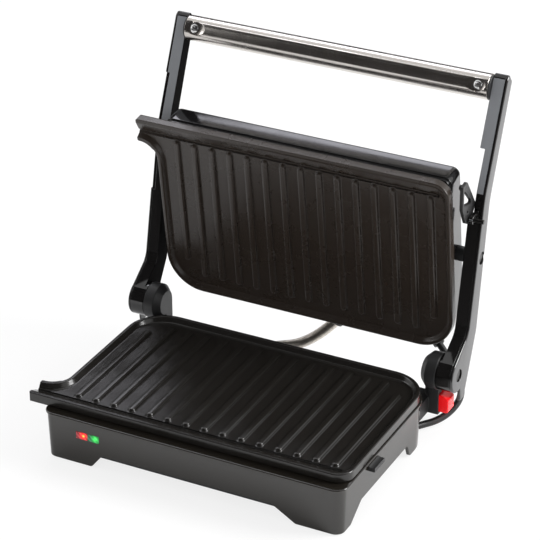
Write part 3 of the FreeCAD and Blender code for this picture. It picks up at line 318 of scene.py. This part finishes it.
def bright_metal(name, colour, tarnish, polish, dull, along, across, depth):
    """Metal with drawn lines along X: the colour with its tarnish in the lines, and a roughness
    that goes from polish to dull in the film."""
    material, tree, shader = blank_finish(name)
    lines = shader_node(tree, "ShaderNodeGroup",
                        {"Along": along, "Across": across, "Depth": depth}, node_tree=drawn_lines)
    clean = ranged(tree, lines.outputs["Line"], low=0.35, high=0.65)
    wire(tree, shader, {
        "Base Color": shaded(tree, clean, tarnish, colour),
        "Roughness": ranged(tree, lines.outputs["Film"], 0.0, 1.0, polish, dull),
        "Normal": lines.outputs["Normal"]})
    shader.inputs["Metallic"].default_value = 1.0
    return material


tube_steel = bright_metal("tube_steel", colour=(0.6, 0.57, 0.54), tarnish=(0.5, 0.47, 0.44),
                          polish=0.2, dull=0.28, along=6.0, across=900.0, depth=0.000002)
rounded_copy("handle_tube", "arms", tube_steel, width=0.0003)

# Screws and the lid's carrier: bright steel. The screws are headed and hold the handle, the plates
# and the bottom sheet, and the carrier is pressed from sheet.
pin_steel = bright_metal("pin_steel", colour=(0.68, 0.68, 0.68), tarnish=(0.55, 0.55, 0.55),
                         polish=0.2, dull=0.3, along=300.0, across=700.0, depth=0.000004)
for pin_node, pin_body in (
        ("handle_screws", "arms"), ("bottom_screws", "base"), ("lower_plate_screws", "base"),
        ("upper_plate_screws", "lid"), ("lid_carrier", "lid")):
    rounded_copy(pin_node, pin_body, pin_steel, width=0.00015)

# Hinge, lid and latch pins: turned steel, blackened. The hinge pins are pressed into the brackets,
# and the others into the arms.
dark_pin = bright_metal("dark_pin", colour=(0.05, 0.048, 0.046), tarnish=(0.035, 0.034, 0.033),
                        polish=0.3, dull=0.42, along=300.0, across=700.0, depth=0.000004)
for dark_node, dark_body in (
        ("hinge_pin_left", "base"), ("hinge_pin_right", "base"), ("lid_pivot_pin_left", "arms"),
        ("lid_pivot_pin_right", "arms"), ("latch_pin", "arms")):
    rounded_copy(dark_node, dark_body, dark_pin, width=0.0002)

# Release button: a red gloss moulding with a sloped top. It slides in a pocket of the right
# bracket against a spring.
button_red = moulding("button_red", colour=(0.95, 0.004, 0.008), worn=(0.97, 0.02, 0.02),
                      polish=0.22, handled=0.3, grain=900.0, depth=0.000004)
rounded_copy("release_button", "button", button_red, width=0.0006)

# Release spring: steel wire wound in seven turns between the bracket's pocket and the button's
# bore. It is squeezed as the button goes in, but it is drawn here as one fixed piece.
spring_coil = rounded_copy("release_spring", None, pin_steel, width=0.0)
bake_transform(spring_coil)

# Lamp lenses: two clear tinted plastic blocks, pushed side by side into the front wall, each with
# a small lamp behind it that glows through its facets.
lamp_glow, glow_in, glow_out = shader_group(
    "lamp_glow", {"Across": 0.0, "Up": 0.0, "Core": 0.001, "Halo": 0.003},
    {"Core": "NodeSocketFloat", "Halo": "NodeSocketFloat", "Facet": "NodeSocketFloat"})
glow_place = shader_node(lamp_glow, "ShaderNodeSeparateXYZ", {"Vector": own_place(lamp_glow)})
glow_flat = shader_node(lamp_glow, "ShaderNodeCombineXYZ", {
    "X": glow_place.outputs["X"], "Z": glow_place.outputs["Z"]}).outputs["Vector"]
glow_middle = shader_node(lamp_glow, "ShaderNodeCombineXYZ", {
    "X": glow_in.outputs["Across"], "Z": glow_in.outputs["Up"]}).outputs["Vector"]
glow_far = shader_node(lamp_glow, "ShaderNodeVectorMath", {0: glow_flat, 1: glow_middle},
                       operation="DISTANCE").outputs["Value"]
glow_facet = shader_node(lamp_glow, "ShaderNodeTexWave", {"Vector": glow_flat, "Scale": 160.0},
                         bands_direction="DIAGONAL")
wire(lamp_glow, glow_out, {
    "Core": ranged(lamp_glow, glow_far, glow_in.outputs["Core"], 0.0),
    "Halo": ranged(lamp_glow, glow_far, glow_in.outputs["Halo"], 0.0),
    "Facet": glow_facet.outputs["Fac"]})


def lit_lens(name, deep, pale, halo, core, across, up, core_reach, halo_reach, power):
    """Tinted clear plastic with diagonal facets and the round glow of a lamp behind it, which
    goes from the core's colour to the halo's and fades out at the halo's reach."""
    material, tree, shader = blank_finish(name)
    glow = shader_node(tree, "ShaderNodeGroup", {
        "Across": across, "Up": up, "Core": core_reach, "Halo": halo_reach}, node_tree=lamp_glow)
    unlit = (0.0, 0.0, 0.0, 1.0)
    light = shader_node(tree, "ShaderNodeMix", {
        "Factor": glow.outputs["Halo"], "A": unlit,
        "B": shaded(tree, glow.outputs["Core"], halo, core)}, data_type="RGBA")
    wire(tree, shader, {
        "Base Color": shaded(tree, glow.outputs["Facet"], deep, pale),
        "Emission Color": light.outputs["Result"],
        "Roughness": ranged(tree, glow.outputs["Facet"], 0.0, 1.0, out_low=0.1, out_high=0.2)})
    shader.inputs["Emission Strength"].default_value = power
    return material


lens_red = lit_lens("lens_red", deep=(0.2, 0.01, 0.012), pale=(0.5, 0.05, 0.06),
                    halo=(1.0, 0.012, 0.004), core=(1.0, 0.75, 0.05), across=-0.0849, up=0.0249,
                    core_reach=0.0014, halo_reach=0.0042, power=1.6)
lens_green = lit_lens("lens_green", deep=(0.01, 0.09, 0.04), pale=(0.06, 0.24, 0.12),
                      halo=(0.0, 0.55, 0.03), core=(0.05, 1.0, 0.1), across=-0.0756, up=0.0249,
                      core_reach=0.0022, halo_reach=0.0042, power=1.4)
rounded_copy("red_lens", "base", lens_red, width=0.0004)
rounded_copy("green_lens", "base", lens_green, width=0.0004)

# Rubber feet and mains gland: soft black rubber. The feet are discs under the bottom sheet, and
# the gland is a sleeve in the rear wall.
rubber_black = moulding("rubber_black", colour=(0.012, 0.012, 0.012), worn=(0.03, 0.03, 0.03),
                        polish=0.6, handled=0.75, grain=1500.0, depth=0.00003)
rounded_copy("foot_pads", "base", rubber_black, width=0.0008)
rounded_copy("mains_gland", "base", rubber_black, width=0.0004)


# Inside: a painted steel sheet closes the base from below. Each plate has a bent tube heater in a
# bright sheet pan. Thermostat, terminals and fuse are pale heat-proof mouldings, and the lamps sit
# on a small green board.
def dress(material, *names):
    """Gives CAD nodes that keep their own shape a finished material."""
    for name in names:
        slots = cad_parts[name].data.materials
        slots.clear()
        slots.append(material)


sheet_black = moulding("sheet_black", colour=(0.014, 0.014, 0.015), worn=(0.03, 0.03, 0.03),
                       polish=0.4, handled=0.5, grain=1200.0, depth=0.00002)
dress(sheet_black, "base_bottom_cover")
sheet_bright = bright_metal("sheet_bright", colour=(0.68, 0.68, 0.69), tarnish=(0.6, 0.6, 0.61),
                            polish=0.3, dull=0.4, along=10.0, across=400.0, depth=0.000006)
dress(sheet_bright, "lower_reflector", "upper_reflector")
heater_tint = bright_metal("heater_tint", colour=(0.3, 0.28, 0.26), tarnish=(0.24, 0.2, 0.2),
                           polish=0.4, dull=0.5, along=60.0, across=200.0, depth=0.000006)
dress(heater_tint, "lower_heater", "upper_heater")
pale_moulding = moulding("pale_moulding", colour=(0.6, 0.58, 0.52), worn=(0.66, 0.64, 0.6),
                         polish=0.5, handled=0.6, grain=1200.0, depth=0.00002)
dress(pale_moulding, "thermostat", "terminal_block", "thermal_fuse")
board_green = moulding("board_green", colour=(0.03, 0.13, 0.05), worn=(0.06, 0.2, 0.08),
                       polish=0.35, handled=0.45, grain=1800.0, depth=0.00001)
dress(board_green, "lamp_board")


# Leads: a closely wound steel conduit and a rubber cable from the base to the lid. Each bends where
# the arms turn, and each is drawn as a lower and an upper stretch that meet where both ride on the
# arms; both stretches are fixed in one pose.
def route_line(name, points, curve_steps):
    """Points read from the smooth curve that has the route's points as its control points."""
    curve = bpy.data.curves.new(name, "CURVE")
    curve.dimensions = "3D"
    spline = curve.splines.new("NURBS")
    spline.points.add(len(points) - 1)
    even_weights = np.ones(len(points))
    spline.points.foreach_set("co", np.c_[points, even_weights].astype(np.float32).ravel())
    spline.order_u = 3
    spline.use_endpoint_u = True
    spline.resolution_u = curve_steps
    carrier = bpy.data.objects.new(name, curve)
    bpy.context.collection.objects.link(carrier)
    bpy.context.view_layer.update()
    drawn = carrier.evaluated_get(bpy.context.evaluated_depsgraph_get())
    mesh = bpy.data.meshes.new_from_object(drawn)
    line = mesh_values(mesh.vertices, "co", 3, np.float64)
    bpy.data.objects.remove(carrier)
    bpy.data.curves.remove(curve)
    bpy.data.meshes.remove(mesh)
    return line


def lead_tube(name, line, radius, sides, wave, pitch, ring_step):
    """A ring of points carried along the line without twist. Its radius dips by the wave once in
    every pitch of length."""
    same_place = 1e-9
    step = np.linalg.norm(np.diff(line, axis=0), axis=1)
    line = line[np.r_[True, step > same_place]]
    run = np.r_[0.0, np.cumsum(np.linalg.norm(np.diff(line, axis=0), axis=1))]
    along = np.linspace(0.0, run[-1], int(run[-1] / ring_step) + 1)
    middle = np.stack([np.interp(along, run, line[:, i]) for i in range(3)], axis=1)
    ahead = np.gradient(middle, along, axis=0)
    ahead /= np.linalg.norm(ahead, axis=1, keepdims=True)
    level = np.cross(ahead, (0.0, 0.0, 1.0))
    level /= np.linalg.norm(level, axis=1, keepdims=True)
    above = np.cross(level, ahead)
    turn = np.linspace(0.0, 2.0 * np.pi, sides, endpoint=False)
    reach = radius - wave * (0.5 + 0.5 * np.cos(2.0 * np.pi * along / pitch))
    ring = (np.cos(turn)[None, :, None] * level[:, None]
            + np.sin(turn)[None, :, None] * above[:, None])
    points = middle[:, None] + reach[:, None, None] * ring
    rows, columns = np.meshgrid(np.arange(len(along) - 1), np.arange(sides), indexing="ij")
    after = (columns + 1) % sides
    faces = np.stack([rows * sides + columns, rows * sides + after,
                      (rows + 1) * sides + after, (rows + 1) * sides + columns], axis=-1)
    first_cap = list(range(sides))[::-1]
    last_cap = list(range((len(along) - 1) * sides, len(along) * sides))
    mesh = bpy.data.meshes.new(name)
    mesh.from_pydata(points.reshape(-1, 3), [],
                     faces.reshape(-1, 4).tolist() + [first_cap, last_cap])
    mesh.shade_smooth()
    piece = bpy.data.objects.new(name, mesh)
    bpy.context.collection.objects.link(piece)
    return piece


conduit_steel = bright_metal("conduit_steel", colour=(0.72, 0.67, 0.6), tarnish=(0.52, 0.48, 0.43),
                             polish=0.3, dull=0.42, along=300.0, across=500.0, depth=0.000004)
conduit_points = np.array([(-0.055, 0.03905, 0.019), (-0.0318, 0.05515, 0.0204),
                           (-0.0034, 0.07745, 0.0199), (0.0178, 0.08302, 0.04699)])
conduit_radius = 0.004
conduit_wave = 0.00012
cable_black = moulding("cable_black", colour=(0.009, 0.009, 0.009), worn=(0.015, 0.015, 0.015),
                       polish=0.34, handled=0.45, grain=1200.0, depth=0.00001)
cable_points = np.array([(0.09, 0.00555, 0.005), (0.099, 0.02505, 0.004),
                         (0.116, 0.04605, 0.0044), (0.1235, 0.06505, 0.017),
                         (0.1085, 0.07405, 0.035), (0.09, 0.08305, 0.0475)])
cable_radius = 0.0026
cable_wave = 0.0
for lead_name, lead_node, lead_points, lead_radius, lead_wave, lead_material, lead_slot in (
        ("conduit", "feed_conduit", conduit_points, conduit_radius, conduit_wave, conduit_steel,
         "conduit_steel"),
        ("cable", "lid_cable", cable_points, cable_radius, cable_wave, cable_black,
         "cable_rubber")):
    lead_line = route_line(lead_name + "_route", lead_points, curve_steps=24)
    lead_half = len(lead_line) // 2
    lower, upper = (
        lead_tube(lead_name + end, line, lead_radius, sides=24, wave=lead_wave, pitch=0.0008,
                  ring_step=0.0002)
        for end, line in (("_lower", lead_line[:lead_half + 1]), ("_upper", lead_line[lead_half:])))
    for stretch in (lower, upper):
        stretch.data.materials.append(lead_material)
    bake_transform(lower)
    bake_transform(upper)
    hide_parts(lead_node)


# Floor, light and camera: a plain white table in a soft studio, seen from the photograph's angle.
# Dark screens and cloths, which show only in reflections, keep the black plastic black.
def flat_panel(name, corners, material):
    """One four-cornered face of the studio."""
    mesh = bpy.data.meshes.new(name)
    mesh.from_pydata(corners, [], [(0, 1, 2, 3)])
    mesh.materials.append(material)
    panel = bpy.data.objects.new(name, mesh)
    bpy.context.collection.objects.link(panel)
    return panel


floor_reach = 6
floor_grey = (0.86, 0.86, 0.86, 1.0)
plain_white = (1.0, 1.0, 1.0, 1.0)
floor_white_share = 0.8
floor_paint, floor_tree, floor_shader = blank_finish("floor_paint")
floor_tree.nodes.remove(floor_shader)
floor_matt = shader_node(floor_tree, "ShaderNodeBsdfDiffuse", {"Color": floor_grey})
floor_white = shader_node(floor_tree, "ShaderNodeEmission", {"Color": plain_white, "Strength": 1.0})
floor_rays = shader_node(floor_tree, "ShaderNodeLightPath").outputs["Is Camera Ray"]
floor_seen = shader_node(floor_tree, "ShaderNodeMath", {0: floor_rays, 1: floor_white_share},
                         operation="MULTIPLY")
floor_mix = shader_node(floor_tree, "ShaderNodeMixShader", {
    "Fac": floor_seen.outputs["Value"], 1: floor_matt.outputs["BSDF"],
    2: floor_white.outputs["Emission"]})
wire(floor_tree, floor_tree.nodes["Material Output"], {"Surface": floor_mix.outputs["Shader"]})
flat_panel("floor", [(-floor_reach, -floor_reach, 0), (floor_reach, -floor_reach, 0),
                     (floor_reach, floor_reach, 0), (-floor_reach, floor_reach, 0)], floor_paint)

room_light = 0.55
room_seen = 1.0
world = bpy.data.worlds.new("studio")
bpy.context.scene.world = world
world.use_nodes = True
world_tree = world.node_tree
world_rays = shader_node(world_tree, "ShaderNodeLightPath").outputs
world_seen = shader_node(world_tree, "ShaderNodeMath", {
    0: world_rays["Is Camera Ray"], 1: world_rays["Is Glossy Ray"]}, operation="MAXIMUM")
world_clear = shader_node(world_tree, "ShaderNodeMath", {
    0: world_seen.outputs["Value"], 1: world_rays["Is Transmission Ray"]}, operation="MAXIMUM")
world_strength = ranged(world_tree, world_clear.outputs["Value"], 0.0, 1.0, room_light, room_seen)
wire(world_tree, world_tree.nodes["Background"], {"Strength": world_strength})
world_tree.nodes["Background"].inputs["Color"].default_value = plain_white


def soft_box(name, place, aim, width, height, power):
    """A rectangular soft light that faces the point aimed at."""
    lamp = bpy.data.lights.new(name, "AREA")
    lamp.shape = "RECTANGLE"
    lamp.size = width
    lamp.size_y = height
    lamp.energy = power
    light = bpy.data.objects.new(name, lamp)
    light.location = place
    away = np.array(place) - np.array(aim)
    away = away / np.linalg.norm(away)
    side = np.cross((0.0, 0.0, 1.0), away)
    side /= np.linalg.norm(side)
    turn = np.stack([side, np.cross(away, side), away], axis=1)
    light.rotation_euler = Matrix(turn.tolist()).to_euler()
    bpy.context.collection.objects.link(light)
    return light


top_light = soft_box("top_light", place=(0.1, 0.95, 1.6), aim=(0.0, 0.1, 0.1),
                     width=3.0, height=1.6, power=17.0)
window_light = soft_box("window_light", place=(-0.64, 1.11, 1.25), aim=(0.0, 0.09, 0.2),
                        width=0.9, height=0.5, power=5.2)
soft_box("right_light", place=(0.95, 0.35, 0.6), aim=(0.25, 0.12, 0.0),
         width=0.5, height=0.5, power=15.0)
front_fill = soft_box("front_fill", place=(0.3, -1.6, 0.7), aim=(0.0, 0.1, 0.15),
                      width=1.2, height=0.8, power=7.0)
soft_box("left_light", place=(-1.3, -0.3, 0.9), aim=(0.0, 0.0, 0.1),
         width=0.6, height=0.8, power=3.0)
window_light.data.color = (0.92, 0.92, 1.0)
top_light.visible_glossy = False
front_fill.visible_glossy = False

flag_cloth, _, flag_shader = blank_finish("flag_cloth")
flag_shader.inputs["Base Color"].default_value = (0.045, 0.042, 0.041, 1.0)
flag_shader.inputs["Roughness"].default_value = 0.9


def upright(left, right, depth, top):
    """Corners of a screen that stands on the floor at one depth."""
    return [(left, depth, 0), (right, depth, 0), (right, depth, top), (left, depth, top)]


def level_sheet(left, right, near, far, height):
    """Corners of a cloth that lies level."""
    return [(left, near, height), (right, near, height), (right, far, height), (left, far, height)]


screen_side, screen_depth, screen_top = 4, -2.2, 3.4
cloth_far, cloth_height = -0.5, 0.001
for flag_name, flag_corners in (
        ("front_screen", upright(-screen_side, screen_side, screen_depth, screen_top)),
        ("front_cloth", level_sheet(-screen_side, screen_side, near=screen_depth, far=cloth_far,
                                    height=cloth_height)),
        ("side_cloth", level_sheet(left=0.22, right=2.2, near=cloth_far, far=0.05,
                                   height=cloth_height)),
        ("rear_screen", upright(left=-3.0, right=-0.4, depth=2.0, top=1.9)),
        ("front_ceiling", level_sheet(-screen_side, screen_side, near=screen_depth, far=-0.15,
                                      height=screen_top))):
    flag = flat_panel(flag_name, flag_corners, flag_cloth)
    flag.visible_camera = False
    flag.visible_diffuse = False
    flag.visible_transmission = False
    flag.visible_shadow = False

lens = bpy.data.cameras.new("camera")
lens.lens = 170.069
lens.sensor_width = 36.0
camera = bpy.data.objects.new("camera", lens)
camera_place = (0.712773, -1.391841, 0.961783)
camera_turn = Matrix(((0.890959, -0.212679, 0.401197),
                      (0.45407, 0.424013, -0.783603),
                      (-0.003457, 0.88033, 0.47435)))
camera.matrix_world = Matrix.Translation(camera_place) @ camera_turn.to_4x4()
bpy.context.collection.objects.link(camera)
bpy.context.scene.camera = camera
bpy.context.scene.view_settings.view_transform = "Standard"
